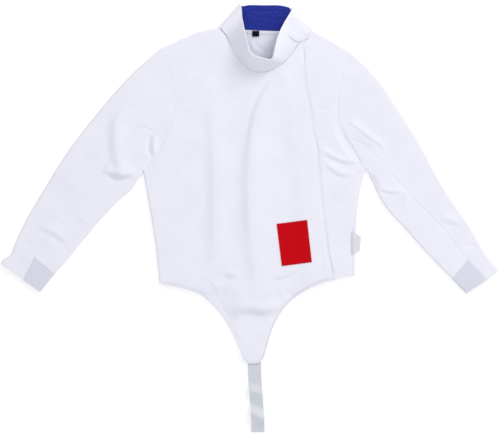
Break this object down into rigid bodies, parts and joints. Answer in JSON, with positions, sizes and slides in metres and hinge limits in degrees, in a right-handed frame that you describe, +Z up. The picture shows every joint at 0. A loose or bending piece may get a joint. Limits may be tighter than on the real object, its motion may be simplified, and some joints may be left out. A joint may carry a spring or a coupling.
{
  "type": "fencing jacket",
  "caption": "White fencing jacket laid flat, with a wrap-over front, stand collar, wrist insets, a pointed tongue and an elastic strap.",
  "frame": {"origin": "on the surface that the jacket lies on, under the back, on the centre line at the chest line between the underarms", "axes": "+X to the wearer's left, along the longest extent; +Y from the hem to the collar; +Z up from the surface, out of the front"},
  "size_m": [1.1438, 0.9753, 0.0528],
  "materials": {
    "white_cloth": "matt dense weave",
    "elastic": "ribbed elastic, slight sheen",
    "blue_lining": "soft woven lining",
    "red_patch": "matt felt-like weave",
    "black_label": "woven label",
    "white_tape": "smooth tape"
  },
  "bodies": {
    "root": {"back": "white_cloth", "front_main": "white_cloth", "front_side": "white_cloth", "sleeve_right_upper": "white_cloth", "sleeve_right_under": "white_cloth", "sleeve_left_upper": "white_cloth", "sleeve_left_under": "white_cloth", "collar_back": "white_cloth", "collar_front": "white_cloth", "collar_tab": "white_cloth", "neck_loop": "white_cloth", "wrist_inset_right": "elastic", "wrist_inset_left": "elastic", "strap": "elastic", "collar_lining": "blue_lining", "chest_patch": "red_patch", "size_label": "black_label", "neck_tape": "white_tape", "hem_binding": "white_tape", "care_label": "white_tape"}
  },
  "joints": []
}
